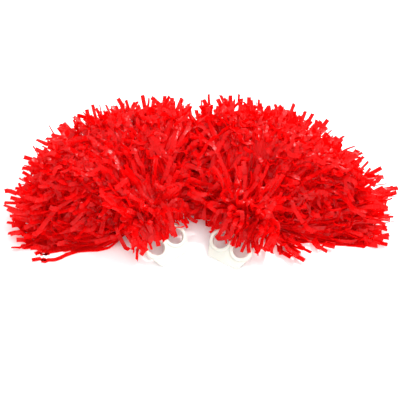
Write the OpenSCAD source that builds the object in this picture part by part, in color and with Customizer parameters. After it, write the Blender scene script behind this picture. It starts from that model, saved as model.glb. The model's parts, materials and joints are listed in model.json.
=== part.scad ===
// Pair of hand-held cheer pom poms lying side by side, millimetres, +Z up.
// Each pom is a stack of slit film sheets folded round the cross bar of a two-hole handle,
// so every sheet leaves the bar as a lower leaf and an upper leaf of strips.
// The origin is on the table, under the middle of the pair.

/* [Handle] */
// Radius of each finger hole
hole_r = 13; // [12:0.5:14]
// Distance between the two finger holes, centre to centre
hole_pitch = 36; // [34:0.5:38]
// Outer radius of the raised collar round a finger hole
collar_r = 18.5; // [18:0.5:19.5]
// Height of the collar, through the plate
collar_h = 9; // [7:0.5:11]
// Thickness of the handle plate
plate_t = 5; // [4:0.5:6]
// Distance from the cross bar's axis to the line of the finger holes
hole_drop = 33; // [31:0.5:35]
// Distance from the cross bar's axis to the handle's bottom edge
edge_drop = 63; // [59:0.5:65]
// Length of the straight bottom edge
edge_w = 50; // [44:1:54]
// Width of the plate at the finger holes
plate_w = 72; // [68:1:74]
// Radius of the cross bar
bar_r = 4; // [3:0.5:5]
// Length of the cross bar between the two arms
bar_w = 50; // [48:1:52]
// Width of each arm that carries the cross bar
arm_w = 6; // [5:0.5:7]
// Slope of the handle where it lies on the table, degrees
handle_tilt = 28; // [24:1:30]

/* [Film] */
// Sheets in the stack of one pom
sheet_count = 6; // [4:1:6]
// Thickness of the bunched film where it leaves the tie
bunch_t = 16; // [12:1:18]
// Width of the bunched film at the tie
bunch_w = 40; // [36:1:42]
// Outer radius of the film folded round the cross bar
fold_r = 11; // [10:0.5:11.5]
// Distance from the cross bar's axis to the mouth of the tie
neck_l = 20; // [18:0.5:24]
// Width of the tie along the neck
tie_w = 7; // [5:0.5:8]
// Thickness of the tie
tie_t = 2; // [1:0.25:2.5]
// Radius of the uncut web in front of the tie
web_r = 24; // [23:0.5:26]
// Radius of the rolled lip that the upper leaves bend over
lip_roll_r = 4; // [3:0.5:4.5]
// Height of a pom's crown above the table
crown_h = 128; // [110:1:140]
// Height of a pom's outer rim above the table
rim_h = 42; // [30:1:50]

/* [Pair] */
// Turn of the left pom
left_turn = 38; // [30:1:44]
// Turn of the right pom
right_turn = -32; // [-40:1:-26]
// Line where the two poms touch
touch_x = -26.5; // [-30:0.5:-20]
// Front line of the strips
front_y = -130; // [-136:1:-124]

/* [Hidden] */

LEFT = 0;
RIGHT = 1;
side_name = ["left", "right"];
turn = [left_turn, right_turn];
// Where each cross bar's middle stands on the table, in plan
bar_at = [[-77.2, -96.7], [58.5, -101.3]];
// Reach of the strips from the tie, sideways and backwards, and how square the outline is
reach_x = [217, 237];
reach_y = [244, 250];
squareness = [2.2, 1.8];

bar_z = edge_drop * sin(handle_tilt) + plate_t / 2 * cos(handle_tilt);
bar_clear = 0.06;
slot_clear = 2;
lip_r = 1.5;
shoulder_r = 2;
corner_r = 4;
arm_r = 5.5;

// Angles of the strips are counted from the way the pom points, which is straight off the bar
lower_from = [-116, -95];
lower_to = [94, 112];
upper_spread = 84;
lower_root_spread = 88;
upper_root_spread = 60;
touch_gap = 0.6;
upper_inset = 18;
upper_root_r = 10;
lower_root_r = web_r + 0.4;
crown_at = 0.45;
edge_drop_share = 0.42;
// Share of the pile's height that the lower leaves fill, and where the upper leaves start
lower_share = 0.42;
upper_share = 0.56;
leaf_fill = 0.45;
rows = [0, 0.1, 0.22, 0.45, 0.72, 1];
cells_beside = 2;
cells_open = 9;

$fn = 48;

function mix(a, b, t) = a + (b - a) * t;
function unit(x) = max(0, min(1, x));
function ease(a, b, x) = let (t = unit((x - a) / (b - a))) t * t * (3 - 2 * t);

// ---------------------------------------------------------------- frames
function ahead(side) = [-sin(turn[side]), cos(turn[side])];
function mouth(side) = bar_at[side] + neck_l * ahead(side);

module at_bar(side) {
    translate([bar_at[side][0], bar_at[side][1], bar_z])
        rotate([0, 0, turn[side]])
            children();
}

// ---------------------------------------------------------------- handle
// Half of the collar's wall in section, with a rounded lip and shoulder
module collar_section() {
    half_h = collar_h / 2;
    translate([hole_r, lip_r - half_h]) square([collar_r - hole_r, collar_h - lip_r - shoulder_r]);
    translate([hole_r + lip_r, -half_h])
        square([collar_r - hole_r - lip_r - shoulder_r, collar_h]);
    for (end = [-1, 1]) {
        translate([hole_r + lip_r, end * (half_h - lip_r)]) circle(r = lip_r);
        translate([collar_r - shoulder_r, end * (half_h - shoulder_r)]) circle(r = shoulder_r);
    }
    translate([hole_r, lip_r - half_h]) square([lip_r, collar_h - 2 * lip_r]);
    translate([collar_r - shoulder_r, shoulder_r - half_h])
        square([shoulder_r, collar_h - 2 * shoulder_r]);
}

// Flat plate with rounded corners, narrow at the bottom edge and widest at the holes
module plate_outline() {
    hull() {
        for (side = [-1, 1]) {
            translate([side * (edge_w / 2 - corner_r / 2), corner_r - edge_drop]) circle(r = corner_r);
            translate([side * (plate_w / 2 - collar_r + 1), -hole_drop]) circle(r = collar_r - 1);
            translate([side * (bar_w / 2 + arm_w - corner_r), -fold_r]) circle(r = corner_r);
        }
    }
}

// One moulding: plate, two finger holes with collars, two arms and the cross bar between them
module handle_body() {
    difference() {
        union() {
            linear_extrude(plate_t, center = true) plate_outline();
            for (side = [-1, 1]) {
                translate([side * hole_pitch / 2, -hole_drop, 0])
                    cylinder(r = collar_r - shoulder_r, h = collar_h, center = true);
                translate([side * (bar_w + arm_w) / 2, 0, 0])
                    rotate([0, 90, 0]) cylinder(r = arm_r, h = arm_w, center = true);
                translate([side * (bar_w + arm_w) / 2, -fold_r, 0])
                    cube([arm_w, 2 * fold_r, plate_t], center = true);
            }
        }
        for (side = [-1, 1])
            translate([side * hole_pitch / 2, -hole_drop, 0])
                cylinder(r = hole_r + lip_r, h = collar_h + 1, center = true);
        translate([0, -(fold_r + slot_clear) / 2, 0])
            cube([bar_w, fold_r + slot_clear, collar_h], center = true);
    }
    for (side = [-1, 1])
        translate([side * hole_pitch / 2, -hole_drop, 0])
            rotate_extrude() collar_section();
    rotate([0, 90, 0]) cylinder(r = bar_r, h = bar_w + arm_w, center = true);
}

module handle(side) {
    color("ivory")
        at_bar(side) rotate([handle_tilt, 0, 0]) handle_body();
}

// ---------------------------------------------------------------- film at the bar
// The uncut middle of the sheets, wrapped round the bar and gathered into the neck
module film_fold(side) {
    color("firebrick")
        at_bar(side) {
            difference() {
                union() {
                    rotate([0, 90, 0]) cylinder(r = fold_r, h = bunch_w, center = true);
                    translate([-bunch_w / 2, 0, -bunch_t / 2])
                        cube([bunch_w, neck_l - lip_roll_r, bunch_t]);
                    translate([-bunch_w / 2, 0, -bunch_t / 2]) cube([bunch_w, neck_l, bunch_t / 2]);
                    translate([0, neck_l, 0])
                        rotate([0, 90, 0]) cylinder(r = lip_roll_r, h = bunch_w, center = true);
                    translate([0, neck_l, -bunch_t / 2])
                        intersection() {
                            cylinder(r = web_r, h = bunch_t / 2);
                            translate([-web_r, 0, 0]) cube([2 * web_r, web_r, bunch_t / 2]);
                        }
                }
                rotate([0, 90, 0]) cylinder(r = bar_r + bar_clear, h = bar_w, center = true);
            }
        }
}

// Band round the neck
module tie(side) {
    color("whitesmoke")
        at_bar(side)
            translate([0, neck_l - lip_roll_r - tie_w / 2, 0])
                difference() {
                    cube([bunch_w + 2 * tie_t, tie_w, bunch_t + 2 * tie_t], center = true);
                    cube([bunch_w, tie_w + 1, bunch_t], center = true);
                }
}

// ---------------------------------------------------------------- sheets of strips
// Outline of a pom in plan: distance from the tie's mouth to the strip ends, at a world angle
function oval(side, angle) =
    let (p = squareness[side])
        pow(pow(abs(cos(angle)) / reach_x[side], p) + pow(abs(sin(angle)) / reach_y[side], p), -1 / p);
function to_front(side, angle) =
    sin(angle) < -0.01 ? (front_y - mouth(side)[1]) / sin(angle) : 1e4;
function to_neighbour(side, angle, inset) =
    let (room = touch_x - mouth(side)[0] + (side == LEFT ? -inset : inset))
        room * cos(angle) > 0.01 ? room / cos(angle) : 1e4;
function round_corner(a, b) = pow(pow(a, -5) + pow(b, -5), -1 / 5);
function outline(side, angle, inset) =
    min(round_corner(oval(side, angle), to_front(side, angle)), to_neighbour(side, angle, inset));

// Height of the underside and of the top of the pile, at a place in plan given in polar form
function along(side, r, angle) = r / round_corner(oval(side, angle), to_front(side, angle));
function under(side, r, angle) =
    mix(bar_z - bunch_t / 2, 0, ease(0.1, 0.38, along(side, r, angle)));
function over(side, r, angle) =
    let (
        s = along(side, r, angle),
        off = angle - turn[side] - 90,
        wing = pow(unit(abs(off) / 110), 3),
        peak = crown_h * (1 - edge_drop_share * wing),
        rim = rim_h * (1 - edge_drop_share * wing)
    )
        s < crown_at
            ? mix(bar_z + bunch_t / 2, peak, ease(0.08, crown_at, s))
            : mix(peak, rim, pow((s - crown_at) / (1 - crown_at), 2));
function pile(side, r, angle, share) = mix(under(side, r, angle), over(side, r, angle), share);

// Angle at which the outline meets the line where the poms touch
function knee(side, passes) =
    let (
        room = touch_x - mouth(side)[0],
        first = room > 0 ? 80 : 100
    )
        passes == 0 ? first : acos(room / oval(side, knee(side, passes - 1)));

// Angles across the fan, off the way the pom points. The upper and the lower leaves share them,
// one of them is at the knee, and the lower leaves have one more at each end.
function fan_of(side, upper) =
    let (
        bend = knee(side, 4) - turn[side] - 90,
        before = side == LEFT ? cells_beside : cells_open,
        after = cells_beside + cells_open - before,
        shared = concat(
            [for (i = [0:before - 1]) mix(-upper_spread, bend, i / before)],
            [for (i = [0:after]) mix(bend, upper_spread, i / after)]
        )
    )
        upper ? shared : concat([lower_from[side]], shared, [lower_to[side]]);

// A point of a leaf: off is its strip's angle, out runs 0..1 along the strip
function leaf_point(side, upper, off, out, share) =
    let (
        limit = upper ? upper_spread : off < 0 ? -lower_from[side] : lower_to[side],
        root_limit = upper ? upper_root_spread : lower_root_spread,
        squeeze = mix(root_limit / limit, 1, ease(0, 0.45, out)),
        angle = turn[side] + 90 + off * squeeze,
        inset = upper ? upper_inset : touch_gap,
        root = upper ? upper_root_r : lower_root_r,
        r = mix(root, outline(side, turn[side] + 90 + off, inset), out)
    )
        [mouth(side)[0] + r * cos(angle), mouth(side)[1] + r * sin(angle), pile(side, r, angle, share)];

// Share of the pile's height at which a leaf lies
function level(upper, step) =
    let (t = step / (sheet_count - 1 + leaf_fill))
        upper ? mix(upper_share, 1, t) : mix(0, lower_share, t);

// A leaf is one closed shell swept over the fan, between two levels of the pile
module leaf(side, upper, k) {
    low = level(upper, k - 1);
    high = level(upper, k - 1 + leaf_fill);
    across_n = len(fan_of(side, upper));
    fan = across_n - 1;
    grid_n = across_n * len(rows);
    points = [for (share = [low, high], out = rows, off = fan_of(side, upper))
        leaf_point(side, upper, off, out, share)];
    last = len(rows) - 1;
    cells = [for (j = [0:last - 1], i = [0:fan - 1]) j * across_n + i];
    skin = [for (c = cells) each [
        [c, c + 1, c + across_n + 1], [c, c + across_n + 1, c + across_n],
        [grid_n + c, grid_n + c + across_n + 1, grid_n + c + 1],
        [grid_n + c, grid_n + c + across_n, grid_n + c + across_n + 1]
    ]];
    rim = concat(
        [for (i = [0:fan]) i],
        [for (j = [1:last]) j * across_n + fan],
        [for (i = [fan - 1:-1:0]) last * across_n + i],
        [for (j = [last - 1:-1:1]) j * across_n]
    );
    walls = [for (e = [0:len(rim) - 1]) let (a = rim[e], b = rim[(e + 1) % len(rim)]) each [
        [a, a + grid_n, b + grid_n], [a, b + grid_n, b]
    ]];
    color("red") polyhedron(points, concat(skin, walls));
}

// ---------------------------------------------------------------- drawing
for (side = [LEFT, RIGHT]) {
    handle(side);
    film_fold(side);
    tie(side);
    for (k = [1:sheet_count]) {
        leaf(side, false, k);
        leaf(side, true, k);
    }
}
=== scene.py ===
"""A pair of cheer pom poms on a pale table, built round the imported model."""
import json
import math

import bmesh
import bpy
import numpy as np
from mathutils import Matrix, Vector


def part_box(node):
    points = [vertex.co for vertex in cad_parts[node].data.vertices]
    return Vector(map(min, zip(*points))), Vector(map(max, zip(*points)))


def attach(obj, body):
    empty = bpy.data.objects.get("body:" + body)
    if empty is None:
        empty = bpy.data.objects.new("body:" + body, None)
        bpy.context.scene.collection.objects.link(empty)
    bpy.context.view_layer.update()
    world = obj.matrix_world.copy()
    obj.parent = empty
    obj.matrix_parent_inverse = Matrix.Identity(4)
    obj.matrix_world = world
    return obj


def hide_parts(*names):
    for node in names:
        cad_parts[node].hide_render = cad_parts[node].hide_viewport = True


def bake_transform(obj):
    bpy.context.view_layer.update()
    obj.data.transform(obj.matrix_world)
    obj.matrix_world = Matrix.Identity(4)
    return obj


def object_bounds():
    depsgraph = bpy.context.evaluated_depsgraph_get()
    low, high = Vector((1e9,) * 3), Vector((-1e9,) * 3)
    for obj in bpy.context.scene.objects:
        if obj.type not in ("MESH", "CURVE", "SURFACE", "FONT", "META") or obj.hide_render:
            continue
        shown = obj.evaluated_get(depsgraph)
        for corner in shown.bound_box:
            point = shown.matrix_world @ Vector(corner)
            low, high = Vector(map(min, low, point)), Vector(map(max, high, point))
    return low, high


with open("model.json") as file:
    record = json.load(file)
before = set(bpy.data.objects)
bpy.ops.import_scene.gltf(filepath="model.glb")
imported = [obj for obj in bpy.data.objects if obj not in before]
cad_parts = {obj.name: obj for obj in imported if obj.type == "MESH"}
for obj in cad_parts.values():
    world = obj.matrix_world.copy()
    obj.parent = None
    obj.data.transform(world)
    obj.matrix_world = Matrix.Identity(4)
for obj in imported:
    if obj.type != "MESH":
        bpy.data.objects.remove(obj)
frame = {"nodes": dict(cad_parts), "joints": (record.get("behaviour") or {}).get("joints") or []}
nodes = frame["nodes"]
joints = {joint["name"]: joint for joint in frame["joints"]}
cad_low, cad_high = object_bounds()

# ---------------------------------------------------------------- camera and table
# The pair lies on a white table and is seen from in front and above, as a person
# standing at the table sees it.
view_distance = 1.6
view_height = math.radians(50)
look_at = Vector((-0.0055, -0.021, 0.0))

lens = bpy.data.cameras.new("camera")
lens.lens = 88.6
lens.sensor_width = 36.0
camera = bpy.data.objects.new("camera", lens)
camera.location = look_at + view_distance * Vector((0, -math.cos(view_height), math.sin(view_height)))
camera.rotation_euler = (math.pi / 2 - view_height, 0, 0)
bpy.context.scene.collection.objects.link(camera)
bpy.context.scene.camera = camera

table_mesh = bpy.data.meshes.new("table")
shape = bmesh.new()
bmesh.ops.create_grid(shape, x_segments=1, y_segments=1, size=4.0)
shape.to_mesh(table_mesh)
shape.free()
table = bpy.data.objects.new("table", table_mesh)
bpy.context.scene.collection.objects.link(table)

white = bpy.data.materials.new("white_table")
white.use_nodes = True
white_shader = white.node_tree.nodes["Principled BSDF"]
white_shader.inputs["Base Color"].default_value = (0.93, 0.935, 0.94, 1)
white_shader.inputs["Roughness"].default_value = 0.55
white_shader.inputs["Specular IOR Level"].default_value = 0.2
table_mesh.materials.append(white)

# ---------------------------------------------------------------- light
# A bright, even studio: a white surround, two small lamps high behind the pair whose
# glints run along the film, and a large soft lamp in front.
surround = bpy.data.worlds.new("surround")
surround.use_nodes = True
surround.node_tree.nodes["Background"].inputs["Color"].default_value = (1.0, 1.0, 1.0, 1)
surround.node_tree.nodes["Background"].inputs["Strength"].default_value = 1.28
bpy.context.scene.world = surround
bpy.context.scene.view_settings.view_transform = "Standard"


def lamp(name, place, target, size, power):
    light = bpy.data.lights.new(name, "AREA")
    light.shape = "DISK"
    light.size = size
    light.energy = power
    holder = bpy.data.objects.new(name, light)
    holder.location = place
    aim = Vector(target) - Vector(place)
    holder.rotation_euler = aim.to_track_quat("-Z", "Y").to_euler()
    bpy.context.scene.collection.objects.link(holder)


lamp("key_lamp", (0.9, 0.5, 1.6), (0, 0, 0.05), 0.3, 26)
lamp("glint_lamp", (0.25, 1.2, 1.3), (0.05, 0, 0.05), 0.25, 8)
lamp("fill_lamp", (0.5, -1.5, 0.9), (0, 0, 0.05), 1.5, 12)

# ---------------------------------------------------------------- film
# Glossy polythene film, thin enough to glow where light comes through it. The colour
# is in the film, a little deeper in one strip than the next, with fine stretch lines.
film = bpy.data.materials.new("red_film")
film.use_nodes = True
tree = film.node_tree
gloss = tree.nodes["Principled BSDF"]
gloss.inputs["Roughness"].default_value = 0.17
gloss.inputs["Specular IOR Level"].default_value = 0.55
glow = tree.nodes.new("ShaderNodeBsdfTranslucent")
blend_film = tree.nodes.new("ShaderNodeMixShader")
blend_film.inputs["Fac"].default_value = 0.82
cut = tree.nodes.new("ShaderNodeUVMap")
tone = tree.nodes.new("ShaderNodeTexNoise")
tone.inputs["Scale"].default_value = 40.0
tone.inputs["Detail"].default_value = 2.0
shade = tree.nodes.new("ShaderNodeValToRGB")
shade.color_ramp.elements[0].position = 0.3
shade.color_ramp.elements[0].color = (0.92, 0.0045, 0.006, 1)
shade.color_ramp.elements[1].position = 0.7
shade.color_ramp.elements[1].color = (0.98, 0.026, 0.029, 1)
stretched = tree.nodes.new("ShaderNodeMapping")
stretched.inputs["Scale"].default_value = (2600.0, 9.0, 1.0)
lines = tree.nodes.new("ShaderNodeTexNoise")
lines.inputs["Scale"].default_value = 1.0
lines.inputs["Detail"].default_value = 2.0
crumple = tree.nodes.new("ShaderNodeTexCoord")
wrinkle = tree.nodes.new("ShaderNodeTexNoise")
wrinkle.inputs["Scale"].default_value = 260.0
wrinkle.inputs["Detail"].default_value = 3.0
wrinkle.inputs["Distortion"].default_value = 0.6
line_relief = tree.nodes.new("ShaderNodeBump")
line_relief.inputs["Strength"].default_value = 0.12
line_relief.inputs["Distance"].default_value = 0.0003
crumple_relief = tree.nodes.new("ShaderNodeBump")
crumple_relief.inputs["Strength"].default_value = 0.35
crumple_relief.inputs["Distance"].default_value = 0.0012
tree.links.new(cut.outputs["UV"], stretched.inputs["Vector"])
tree.links.new(stretched.outputs["Vector"], lines.inputs["Vector"])
tree.links.new(lines.outputs["Fac"], line_relief.inputs["Height"])
tree.links.new(crumple.outputs["Object"], wrinkle.inputs["Vector"])
tree.links.new(wrinkle.outputs["Fac"], crumple_relief.inputs["Height"])
tree.links.new(line_relief.outputs["Normal"], crumple_relief.inputs["Normal"])
tree.links.new(crumple_relief.outputs["Normal"], gloss.inputs["Normal"])
tree.links.new(cut.outputs["UV"], tone.inputs["Vector"])
tree.links.new(tone.outputs["Fac"], shade.inputs["Fac"])
tree.links.new(shade.outputs["Color"], gloss.inputs["Base Color"])
tree.links.new(shade.outputs["Color"], glow.inputs["Color"])
tree.links.new(gloss.outputs["BSDF"], blend_film.inputs[1])
tree.links.new(glow.outputs["BSDF"], blend_film.inputs[2])
tree.links.new(blend_film.outputs["Shader"], tree.nodes["Material Output"].inputs["Surface"])

# ---------------------------------------------------------------- sheets
# Each pom is six sheets of thin film laid on each other, gathered and folded over the
# handle's bar, which makes twelve leaves. Each leaf is slit into strips of one length
# from its end nearly to the fold, then ruffled by hand until the strips stand apart.
strips = 112
strip_w = 0.0070
strip_l = 0.230
film_t = 0.00012
rows = 31
web_rows = 1
sheets = 6
bunch_w = 0.040
bunch_t = 0.016
crown_at = 0.45
rim_h = 0.042
wing_drop = 0.42
mingle = 0.005
back_fill = 0.10
back_corner = {"left": 52, "right": 128}
front_gap = {"left": 0.010, "right": 0.026}
crown_share = 0.89
laid_l = 0.95 * strip_l
lying_share = 0.32
banked_share = 0.34
tip_proud = 0.022
tip_give = 0.010
table_near = 0.006
out_of_reach = 9.0
least_slope = 0.01
squareness = {"left": 2.2, "right": 1.8}
lower_fan = {"left": ((-110, 100), (-100, 74)), "right": ((-100, 110), (-74, 104))}
upper_fan = {"left": ((-92, 92), (-98, 90)), "right": ((-92, 92), (-90, 102))}


def ease(low, high, x):
    t = np.clip((x - low) / (high - low), 0, 1)
    return t * t * (3 - 2 * t)


def mix(a, b, t):
    return a + (b - a) * t


def unit(v):
    return v / (np.linalg.norm(v, axis=-1)[..., None] + 1e-9)


class Pom:
    """Where one pom's film goes, from the frame's own joints and boxes."""

    def __init__(self, side):
        lift = joints[side + "_top_lift"]
        self.side = side
        self.mouth = np.array(lift["pos_m"])
        self.across = np.array(lift["axis"])
        self.facing = math.atan2(self.across[0], -self.across[1])
        self.ahead = np.array((math.cos(self.facing), math.sin(self.facing), 0.0))
        self.bar_way = np.array((self.ahead[1], -self.ahead[0], 0.0))
        self.bar = np.array(joints[side + "_handle_swing"]["pos_m"])
        low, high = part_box(side + "_lower_sheet_1")
        self.front = low.y
        self.front_edge = low.y + front_gap[side]
        self.reach_x = self.mouth[0] - low.x if side == "left" else high.x - self.mouth[0]
        self.touch = high.x if side == "left" else low.x
        self.reach_y = high.y - self.mouth[1]
        self.back_corner = math.radians(back_corner[side])
        self.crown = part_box(side + "_upper_sheet_6")[1].z * crown_share

    def pressed_free(self, angle):
        """How far the film would reach without the other pom: an oval, cut short at the front."""
        p = squareness[self.side]
        oval = ((np.abs(np.cos(angle)) / self.reach_x) ** p
                + (np.abs(np.sin(angle)) / self.reach_y) ** p) ** (-1 / p)
        oval = oval * (1 + back_fill * np.maximum(np.cos(2 * (angle - self.back_corner)), 0))
        down = np.minimum(np.sin(angle), -least_slope)
        to_front = np.where(down < -least_slope, (self.front - self.mouth[1]) / down, out_of_reach)
        return (oval ** -5 + to_front ** -5) ** (-1 / 5)

    def outline(self, angle):
        """How far the film reaches, where the other pom may be in the way."""
        gap = self.touch - self.mouth[0]
        gap += mingle * np.sign(gap)
        aside = np.maximum(np.cos(angle) * np.sign(gap), least_slope)
        to_touch = np.where(aside > least_slope, abs(gap) / aside, out_of_reach)
        return np.minimum(self.pressed_free(angle), to_touch)

    def height(self, r, angle, share):
        """The height of the film there: share 0 is its underside, 1 its top."""
        s = r / self.pressed_free(angle)
        off = np.degrees(np.abs((angle - self.facing + np.pi) % (2 * np.pi) - np.pi))
        wing = 1 - wing_drop * np.clip(off / 110, 0, 1) ** 3
        under = mix(self.mouth[2] - bunch_t / 2, 0, ease(0.1, 0.38, s))
        rise = mix(self.mouth[2] + bunch_t / 2, self.crown * wing, ease(0.0, crown_at, s))
        fall = mix(self.crown * wing, rim_h * wing, np.clip((s - crown_at) / (1 - crown_at), 0, 1.2) ** 2)
        return mix(under, np.where(s < crown_at, rise, fall), share)

    def outward(self, r, angle):
        """The way that the film's top faces there."""
        step = 0.004
        slope = (self.height(r + step, angle, 1) - self.height(r - step, angle, 1)) / (2 * step)
        return unit(np.stack([-slope * np.cos(angle), -slope * np.sin(angle), np.ones_like(slope)], -1))


def kinks(rng, count, spacing, steps=rows, straight=0):
    """Sharp-cornered wandering along a strip, between -1 and 1, steady in its straight end."""
    line = np.zeros((count, steps))
    at = np.arange(steps)
    bent = steps - straight
    for k in range(count):
        corners = np.unique(np.concatenate(([0, bent - 1], rng.choice(at[:bent], bent // spacing))))
        line[k] = np.interp(at, corners, rng.uniform(-1, 1, len(corners)))
    return line


# Bundles that lie out of the pile: which leaf, its first strip and their number, then the
# angle off the way the pom points, the distance from the neck, and the height of the tips
strays = {
    "left": [(3, 94, 5, 52, 0.214, 0.010), (1, 106, 3, 71, 0.176, 0.003), (4, 84, 5, 42, 0.224, 0.020),
             (2, 98, 4, 60, 0.205, 0.006)],
    "right": [(1, 0, 9, -94, 0.098, 0.004), (2, 1, 7, -87, 0.090, 0.008), (3, 13, 9, -44, 0.238, 0.025),
              (2, 10, 7, -62, 0.214, 0.006), (1, 16, 3, -79, 0.138, 0.003), (4, 12, 6, -55, 0.220, 0.014)],
}


def behind_handle(pom, line):
    """Strips kept behind the handle where it stands when it is swung right up."""
    from_bar = line - pom.bar
    beside = from_bar @ pom.bar_way
    ahead = from_bar @ pom.ahead
    needed = 0.0105 - 0.53 * from_bar[..., 2]
    held = (np.abs(beside) < 0.045) & (from_bar[..., 2] > -0.004) & (from_bar[..., 2] < 0.075)
    push = np.where(held, np.maximum(needed - ahead, 0), 0)
    return line + push[..., None] * pom.ahead


def bent_run(start, leave, arrive, tip, t):
    """A strip's bent run, out of its start along leave and in to its tip along arrive."""
    rest = 1 - t
    return (rest ** 3 * start + 3 * rest ** 2 * t * (start + leave)
            + 3 * rest * t ** 2 * (tip - arrive) + t ** 3 * tip)


def strip_lines(pom, level, upper, rng):
    """Middle line, width direction and face direction of each strip of one leaf."""
    place = (np.arange(strips) + 0.5) / strips
    start_fan, tip_fan = (upper_fan if upper else lower_fan)[pom.side]
    angle = pom.facing + np.radians(mix(*start_fan, place) + rng.normal(0, 3, strips))
    tip_off = mix(*tip_fan, place) + rng.normal(0, 12 if upper else 6, strips)
    tip_off = np.clip(tip_off, tip_fan[0] - 6, tip_fan[1] + 6)
    outer = place if pom.side == "left" else 1 - place
    banked = upper & (outer > 0.45) & (rng.random(strips) < banked_share)
    tip_off = np.where(banked, (1 if pom.side == "left" else -1) * rng.uniform(52, 100, strips), tip_off)
    tip_angle = pom.facing + np.radians(tip_off)
    layer = (level + 0.5) / (2 * sheets)
    if upper:
        out = np.sqrt(rng.uniform(0.02, 0.88, strips))
        near = rng.random(strips) < 0.16 + 0.3 * (layer > 0.75)
        out = np.where(near, rng.uniform(0.08, 0.55, strips), out)
        share = rng.uniform(0.9, 1.0, strips)
        share = np.where(np.abs(tip_off) > 50, rng.uniform(0.3, 1.0, strips), share)
        out = np.where(banked, rng.uniform(0.35, 0.95, strips), out)
        slope = mix(0.05, 0.8, layer) + rng.normal(0, 0.1, strips)
    else:
        out = rng.uniform(0.76, 0.94, strips)
        share = rng.uniform(0.0, 0.95, strips)
        slope = mix(-0.5, 0.25, layer) + rng.normal(0, 0.06, strips)
    ray = np.stack([np.cos(tip_angle), np.sin(tip_angle), np.zeros(strips)], -1)
    r = pom.outline(tip_angle) * out
    loose = unit(rng.normal(0, 1, (strips, 3)))
    if upper:
        lying = rng.random(strips) < lying_share
        stand = pom.outward(r, tip_angle)
        arrive = np.where(lying[:, None], unit(0.6 * loose + 0.8 * ray),
                          unit(0.7 * stand + 0.5 * ray + 0.42 * loose))
        proud = np.where(lying, rng.uniform(0.0, 0.005, strips), tip_proud * rng.random(strips) ** 1.5)
        reach_in = np.where(lying, rng.uniform(0.07, 0.11, strips), rng.uniform(0.04, 0.08, strips))
    else:
        arrive = unit(ray + 0.4 * loose)
        proud = rng.uniform(-0.004, 0.016, strips)
        reach_in = rng.uniform(0.05, 0.09, strips)
    tip = np.array([pom.mouth[0], pom.mouth[1], 0]) + ray * r[:, None]
    tip[:, 2] = pom.height(r, tip_angle, share)
    tip = tip + arrive * proud[:, None]
    tip[:, 2] = np.clip(tip[:, 2], 0.001, cad_high.z + 0.012)
    free = np.zeros((strips, 1))
    for leaf_level, first, number, off, far, high in strays[pom.side]:
        if level == leaf_level:
            some = slice(first, first + number)
            way = pom.facing + np.radians(off + rng.normal(0, 2.5, number))
            arrive[some] = unit(np.stack([np.cos(way), np.sin(way), np.zeros(number)], -1)
                                + rng.normal(0, 0.12, (number, 3)))
            angle[some] = mix(angle[some], way, 0.8)
            far = far + rng.normal(0, 0.006, number)
            tip[some, 0] = pom.mouth[0] + far * np.cos(way)
            tip[some, 1] = pom.mouth[1] + far * np.sin(way)
            tip[some, 2] = high + rng.uniform(0, 0.012, number)
            free[some] = 1
    start = pom.mouth - (place - 0.5)[:, None] * bunch_w * pom.across
    start[:, 2] += (layer - 0.5) * bunch_t
    slack = np.clip(laid_l / np.linalg.norm(tip - start, axis=1) - 1.2, 0, 1)
    angle = mix(angle, pom.facing, 0.55 * slack)
    leave = unit(np.stack([np.cos(angle), np.sin(angle), slope], -1))
    u = np.linspace(0, 1, rows)
    t = (1 - (1 - u) ** 1.25)[None, :, None]
    low, high = np.full(strips, 0.02), np.full(strips, 0.34)
    aim = laid_l if upper else np.minimum(laid_l, 1.2 * np.linalg.norm(tip - start, axis=1))
    for _ in range(9):
        middle = (low + high) / 2
        line = bent_run(start[:, None], (leave * middle[:, None])[:, None],
                        (arrive * reach_in[:, None])[:, None], tip[:, None], t)
        length = np.linalg.norm(np.diff(line, axis=1), axis=2).sum(1)
        low, high = np.where(length < aim, middle, low), np.where(length < aim, high, middle)

    # kept within the pile, with only the tips standing proud of it
    u = u[None, :]
    end = ease(0.78, 1, u)
    from_mouth = line[..., :2] - pom.mouth[:2]
    r = np.hypot(from_mouth[..., 0], from_mouth[..., 1])
    way = np.arctan2(from_mouth[..., 1], from_mouth[..., 0])
    edge = pom.outline(way) + tip_give * end + free
    held_in = np.minimum(r, edge) / np.maximum(r, 1e-6)
    line[..., :2] = pom.mouth[:2] + from_mouth * held_in[..., None]
    roof = pom.height(np.minimum(r, edge), way, 1.0) + mix(-0.006, 0.020, end)
    line[..., 2] = np.minimum(line[..., 2], roof)
    bank = pom.front_edge - free + rng.uniform(0, 0.014, strips)[:, None] + 0.7 * np.maximum(line[..., 2], 0)
    bank = bank - end * rng.uniform(0, 0.018, strips)[:, None]
    short = np.maximum(bank - line[..., 1], 0)
    line[..., 1] = np.where(short > 0, bank - 0.008 * (1 - np.exp(-short / 0.02)), line[..., 1])
    line = behind_handle(pom, line)

    run = unit(np.gradient(line, axis=1))
    level_way = unit(np.stack([-run[..., 1], run[..., 0], np.full_like(run[..., 0], 1e-3)], -1))
    upright = np.cross(run, level_way)
    turn = np.radians(rng.normal(0, 55, strips))[:, None] * ease(0, 0.5, u)
    turn = turn + np.radians(42) * kinks(rng, strips, 4, straight=6) * ease(0, 0.5, u)
    wide = level_way * np.cos(turn)[..., None] + upright * np.sin(turn)[..., None]
    face = np.cross(run, wide)
    sway = mix(0.001, 0.009 if upper else 0.007, ease(0.0, 0.6, u))
    crease = mix(0.0, 0.0022 if upper else 0.0032, ease(0.2, 0.6, u))
    bends = kinks(rng, strips, 6, straight=5) * sway + kinks(rng, strips, 3, straight=5) * crease
    line = line + face * bends[..., None]
    line = line + level_way * (kinks(rng, strips, 6, straight=5) * sway)[..., None]

    line = behind_handle(pom, line)
    line[..., 2] = np.minimum(line[..., 2], cad_high.z + 0.0125)

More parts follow.
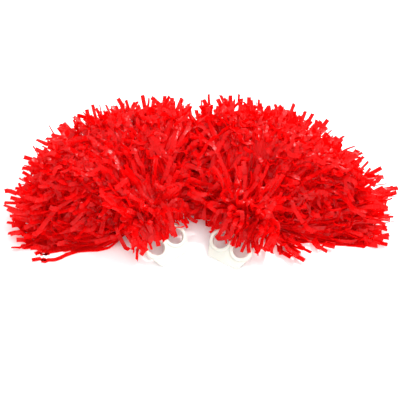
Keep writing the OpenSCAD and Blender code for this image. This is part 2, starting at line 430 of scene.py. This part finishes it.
    # where a strip lies on the table, it lies flat on it
    flat_turn = np.pi * np.round(turn.mean(1, keepdims=True) / np.pi)
    turn = mix(flat_turn, turn, ease(0.0, table_near, line[..., 2]))
    wide = level_way * np.cos(turn)[..., None] + upright * np.sin(turn)[..., None]
    return line, wide, np.cross(run, wide)


def slit_film(name, line, wide, face, rng):
    """A flat sheet slit into strips from one end, laid along the given lines and made solid."""
    count, steps = line.shape[:2]
    shape = bmesh.new()
    bmesh.ops.create_grid(shape, x_segments=count * 2, y_segments=steps - 1, size=0.5, calc_uvs=False)
    column = shape.verts.layers.int.new("column")
    row = shape.verts.layers.int.new("row")
    strip_of = shape.verts.layers.int.new("strip")
    for v in shape.verts:
        v[column] = round((v.co.x + 0.5) * count * 2)
        v[row] = round((v.co.y + 0.5) * (steps - 1))
    uv = shape.loops.layers.uv.new("UVMap")
    for f in shape.faces:
        for corner in f.loops:
            corner[uv].uv = (corner.vert.co.x + 0.5, corner.vert.co.y + 0.5)
    slits = [e for e in shape.edges
             if e.verts[0][column] == e.verts[1][column]
             and e.verts[0][column] % 2 == 0
             and 0 < e.verts[0][column] < count * 2
             and min(e.verts[0][row], e.verts[1][row]) >= web_rows]
    bmesh.ops.split_edges(shape, edges=slits)
    for f in shape.faces:
        k = min(v[column] for v in f.verts) // 2
        for v in f.verts:
            v[strip_of] = k
    k = np.array([v[strip_of] for v in shape.verts])
    i = np.array([v[row] for v in shape.verts])
    c = np.array([v[column] for v in shape.verts]) - 2 * k - 1
    taper = strip_w / 2 * mix(0.35, 1.0, ease(0.0, 0.2, i / (steps - 1)))
    curl = rng.normal(0, 0.0007, count)
    spot = line[k, i] + wide[k, i] * (c * taper)[:, None] + face[k, i] * (curl[k] * (c == 0))[:, None]
    floor = 0.0004 + 0.0012 * rng.random(count)[k]
    spot[:, 2] = np.maximum(spot[:, 2], floor)
    for v, p in zip(shape.verts, spot):
        v.co = p
    bmesh.ops.solidify(shape, geom=shape.faces[:], thickness=film_t)
    mesh = bpy.data.meshes.new(name)
    shape.to_mesh(mesh)
    shape.free()
    mesh.shade_smooth()
    mesh.set_sharp_from_angle(angle=math.radians(38))
    mesh.materials.append(film)
    piece = bpy.data.objects.new(name, mesh)
    bpy.context.scene.collection.objects.link(piece)
    return piece


def make_leaf(pom, level, upper, number):
    node = f"{pom.side}_{'upper' if upper else 'lower'}_sheet_{number}"
    rng = np.random.default_rng(100 * level + (7 if pom.side == "left" else 11))
    leaf = slit_film(node + "_strips", *strip_lines(pom, level, upper, rng), rng)
    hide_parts(node)
    if upper:
        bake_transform(leaf)
    else:
        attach(leaf, pom.side + "_head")


poms = {side: Pom(side) for side in ("left", "right")}
for pom in poms.values():
    for number in range(1, sheets + 1):
        make_leaf(pom, number - 1, False, number)
        make_leaf(pom, sheets + number - 1, True, number)

# ---------------------------------------------------------------- front strips
# The strips of the top sheet that were combed forward: they rise out of the neck, fall
# over the bar and end on the handle, where they half cover the finger holes.
front_count = 120
front_steps = 17
front_l = 0.095
handle_tilt = math.radians(28)
fold_r = 0.011
collar_top = 0.0045
leaning_back = 0.42


def at_bar(side, p, tilt=0.0):
    """A place beside the bar: p is along it, ahead of it and above it, tilted with the handle."""
    pom = poms[side]
    p = np.asarray(p, float)
    ahead = p[..., 1] * math.cos(tilt) - p[..., 2] * math.sin(tilt)
    above = p[..., 1] * math.sin(tilt) + p[..., 2] * math.cos(tilt)
    return (pom.bar + p[..., :1] * pom.bar_way
            + ahead[..., None] * pom.ahead + above[..., None] * np.array((0.0, 0.0, 1.0)))


def front_lines(side, rng):
    """Middle line, width direction and face direction of each front strip, beside the bar."""
    place = (np.arange(front_count) + 0.5) / front_count * 2 - 1
    start = np.stack([place * bunch_w * 0.48, np.full(front_count, 0.021), np.full(front_count, 0.007)], -1)
    start += rng.normal(0, 0.0012, start.shape)
    along = place * 0.052 + rng.normal(0, 0.010, front_count)
    beside = np.clip((np.abs(along) - 0.030) / 0.02, 0, 1)
    down = rng.uniform(0.008, 0.045, front_count) * (1 - 0.3 * beside)
    above = collar_top + 0.0025 + rng.uniform(0, 0.006, front_count) - 0.008 * beside
    tip = np.stack([along, -down * math.cos(handle_tilt) + above * math.sin(handle_tilt),
                    -down * math.sin(handle_tilt) + above * math.cos(handle_tilt)], -1)
    heading = rng.normal(0, 0.5, front_count) + 0.5 * place
    arrive = unit(np.stack([np.sin(heading), -np.cos(heading) * 0.9,
                            rng.normal(-0.35, 0.25, front_count)], -1))
    leave = unit(np.stack([place * 0.9 + rng.normal(0, 0.25, front_count),
                           rng.normal(-0.2, 0.3, front_count), np.full(front_count, 0.5)], -1))
    # about two in five stand up and lean back over the pile instead
    back = rng.random(front_count) < leaning_back
    fan = 1.25 * place + rng.normal(0, 0.25, front_count)
    far = rng.uniform(0.035, 0.085, front_count)
    up = np.stack([far * np.sin(fan), 0.012 + far * np.cos(fan) * 0.75, 0.020 + far * 0.62], -1)
    tip = np.where(back[:, None], up, tip)
    arrive = np.where(back[:, None], unit(up - start + rng.normal(0, 0.012, up.shape)), arrive)
    leave = np.where(back[:, None], unit(np.stack([place * 0.6, np.full(front_count, -0.35),
                                                   np.full(front_count, 0.8)], -1)), leave)
    t = np.linspace(0, 1, front_steps)[None, :, None]
    low, high = np.full(front_count, 0.01), np.full(front_count, 0.12)
    reach_in = rng.uniform(0.02, 0.045, front_count)
    aim = front_l * rng.uniform(0.6, 0.98, front_count)
    for _ in range(9):
        middle = (low + high) / 2
        line = bent_run(start[:, None], (leave * middle[:, None])[:, None],
                        (arrive * reach_in[:, None])[:, None], tip[:, None], t)
        length = np.linalg.norm(np.diff(line, axis=1), axis=2).sum(1)
        low, high = np.where(length < aim, middle, low), np.where(length < aim, high, middle)
    u = t[..., 0]
    run = unit(np.gradient(line, axis=1))
    level_way = unit(np.cross(run, np.array((0.0, -0.5, 1.0))))
    face = np.cross(run, level_way)
    turn = np.radians(rng.normal(0, 40, front_count))[:, None] * ease(0, 0.5, u)
    turn = turn + np.radians(50) * kinks(rng, front_count, 3, front_steps, straight=4) * ease(0, 0.5, u)
    wide = level_way * np.cos(turn)[..., None] + face * np.sin(turn)[..., None]
    face = np.cross(run, wide)
    crease = mix(0.0, 0.0035, ease(0.1, 0.5, u))
    line = line + face * (kinks(rng, front_count, 2, front_steps, straight=4) * crease)[..., None]
    line = line + level_way * (kinks(rng, front_count, 4, front_steps, straight=4) * crease * 1.5)[..., None]

    # clear of the fold round the bar, and of the handle's face
    from_bar = np.hypot(line[..., 1], line[..., 2])
    clear = np.maximum(from_bar, fold_r + 0.002 + 0.004 * rng.random(front_count)[:, None])
    line[..., 1:] *= (clear / np.maximum(from_bar, 1e-5))[..., None]
    proud = line[..., 2] * math.cos(handle_tilt) - line[..., 1] * math.sin(handle_tilt)
    over = (line[..., 1] < -0.004) & (np.abs(line[..., 0]) < 0.041)
    lift = np.where(over, np.maximum(collar_top + 0.002 - proud, 0), 0)
    line[..., 1] -= lift * math.sin(handle_tilt)
    line[..., 2] += lift * math.cos(handle_tilt)

    def turned(v):
        return (v[..., :1] * poms[side].bar_way + v[..., 1:2] * poms[side].ahead
                + v[..., 2:] * np.array((0.0, 0.0, 1.0)))

    return at_bar(side, line), turned(wide), turned(face)


for side in ("left", "right"):
    rng = np.random.default_rng(41 if side == "left" else 43)
    fringe = slit_film(side + "_front_strips", *front_lines(side, rng), rng)
    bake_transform(fringe)

# ---------------------------------------------------------------- fold round the bar
# The uncut middle of the sheets is folded over the bar and gathered into pleats that
# run on into the neck. Four pleated layers lie one inside the other.
fold_layers = 4
neck_l = 0.0195
pleats = 24
flap = 0.3
neck_squeeze = 0.27
for side in ("left", "right"):
    rng = np.random.default_rng(51 if side == "left" else 53)
    shape = bmesh.new()
    across_n, round_n = pleats * 4, 26
    for layer in range(fold_layers):
        radius = fold_r - 0.0006 - 0.0017 * layer
        made = bmesh.ops.create_grid(shape, x_segments=across_n, y_segments=round_n, size=0.5)
        phase = rng.uniform(0, 6)
        depth = 0.0005 + 0.0006 * rng.random(pleats + 1)
        for v in made["verts"]:
            a, b = v.co.x + 0.5, v.co.y + 0.5
            fold_here = np.interp(a * pleats, np.arange(pleats + 1), depth)
            ripple = fold_here * math.sin(2 * math.pi * pleats * (a + 0.006 * math.sin(9 * b)) + phase)
            if b < flap:
                ahead, above = neck_l * (1 - b / flap), 1.0
            elif b > 1 - flap:
                ahead, above = neck_l * (b - (1 - flap)) / flap, -1.0
            else:
                lean = math.pi * (b - flap) / (1 - 2 * flap)
                ahead, above = -math.sin(lean) * (radius + ripple), math.cos(lean)
            squeeze = 1 - neck_squeeze * ease(0.3, 1.0, max(ahead, 0.0) / neck_l)
            spot = (mix(-0.5, 0.5, a) * bunch_w * 0.985, ahead, above * (radius + ripple) * squeeze)
            v.co = at_bar(side, spot)
    bmesh.ops.solidify(shape, geom=shape.faces[:], thickness=film_t)
    mesh = bpy.data.meshes.new(side + "_pleated_fold")
    shape.to_mesh(mesh)
    shape.free()
    mesh.shade_smooth()
    mesh.set_sharp_from_angle(angle=math.radians(50))
    mesh.materials.append(film)
    fold = bpy.data.objects.new(side + "_pleated_fold", mesh)
    bpy.context.scene.collection.objects.link(fold)
    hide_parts(side + "_film_fold")
    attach(fold, side + "_head")

# ---------------------------------------------------------------- tie
# A plain moulded band pulled tight round the neck, with a fine grain on its surface.
# It holds the gathered film on the bar.
band = bpy.data.materials.new("band_plastic")
band.use_nodes = True
tree = band.node_tree
skin = tree.nodes["Principled BSDF"]
skin.inputs["Base Color"].default_value = (0.62, 0.60, 0.57, 1)
skin.inputs["Roughness"].default_value = 0.45
spot_at = tree.nodes.new("ShaderNodeTexCoord")
grain = tree.nodes.new("ShaderNodeTexNoise")
grain.inputs["Scale"].default_value = 900.0
relief = tree.nodes.new("ShaderNodeBump")
relief.inputs["Strength"].default_value = 0.15
relief.inputs["Distance"].default_value = 0.0002
tree.links.new(spot_at.outputs["Object"], grain.inputs["Vector"])
tree.links.new(grain.outputs["Fac"], relief.inputs["Height"])
tree.links.new(relief.outputs["Normal"], skin.inputs["Normal"])
for side in ("left", "right"):
    node = nodes[side + "_tie"]
    node.data.materials.clear()
    node.data.materials.append(band)

# ---------------------------------------------------------------- handles
# One moulding in ivory plastic: a plate with two collared finger holes, and two arms
# that carry the bar. The edges are rounded as they leave the mould.
edge_round = 0.0008
ivory = bpy.data.materials.new("ivory_plastic")
ivory.use_nodes = True
tree = ivory.node_tree
skin = tree.nodes["Principled BSDF"]
skin.inputs["Roughness"].default_value = 0.34
skin.inputs["Specular IOR Level"].default_value = 0.45
skin.inputs["Subsurface Weight"].default_value = 0.08
skin.inputs["Subsurface Scale"].default_value = 0.003
spot_at = tree.nodes.new("ShaderNodeTexCoord")
cloud = tree.nodes.new("ShaderNodeTexNoise")
cloud.inputs["Scale"].default_value = 35.0
cloud.inputs["Detail"].default_value = 3.0
tint = tree.nodes.new("ShaderNodeValToRGB")
tint.color_ramp.elements[0].position = 0.35
tint.color_ramp.elements[0].color = (0.57, 0.56, 0.505, 1)
tint.color_ramp.elements[1].position = 0.65
tint.color_ramp.elements[1].color = (0.60, 0.592, 0.535, 1)
grain = tree.nodes.new("ShaderNodeTexNoise")
grain.inputs["Scale"].default_value = 700.0
relief = tree.nodes.new("ShaderNodeBump")
relief.inputs["Strength"].default_value = 0.08
relief.inputs["Distance"].default_value = 0.0001
tree.links.new(spot_at.outputs["Object"], cloud.inputs["Vector"])
tree.links.new(cloud.outputs["Fac"], tint.inputs["Fac"])
tree.links.new(tint.outputs["Color"], skin.inputs["Base Color"])
tree.links.new(spot_at.outputs["Object"], grain.inputs["Vector"])
tree.links.new(grain.outputs["Fac"], relief.inputs["Height"])
tree.links.new(relief.outputs["Normal"], skin.inputs["Normal"])
for side in ("left", "right"):
    shape = bmesh.new()
    shape.from_mesh(nodes[side + "_handle"].data)
    bmesh.ops.remove_doubles(shape, verts=shape.verts, dist=1e-6)
    bmesh.ops.dissolve_limit(shape, angle_limit=math.radians(1.0), verts=shape.verts, edges=shape.edges)
    keen = [e for e in shape.edges if len(e.link_faces) == 2 and e.calc_face_angle() > math.radians(40)]
    bmesh.ops.bevel(shape, geom=keen, offset=edge_round, offset_type="OFFSET", segments=3, profile=0.5,
                    affect="EDGES", clamp_overlap=True, material=-1)
    mesh = bpy.data.meshes.new(side + "_moulded_handle")
    shape.to_mesh(mesh)
    shape.free()
    mesh.shade_smooth()
    mesh.set_sharp_from_angle(angle=math.radians(32))
    mesh.materials.append(ivory)
    handle = bpy.data.objects.new(side + "_moulded_handle", mesh)
    bpy.context.scene.collection.objects.link(handle)
    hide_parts(side + "_handle")
    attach(handle, side + "_handle")
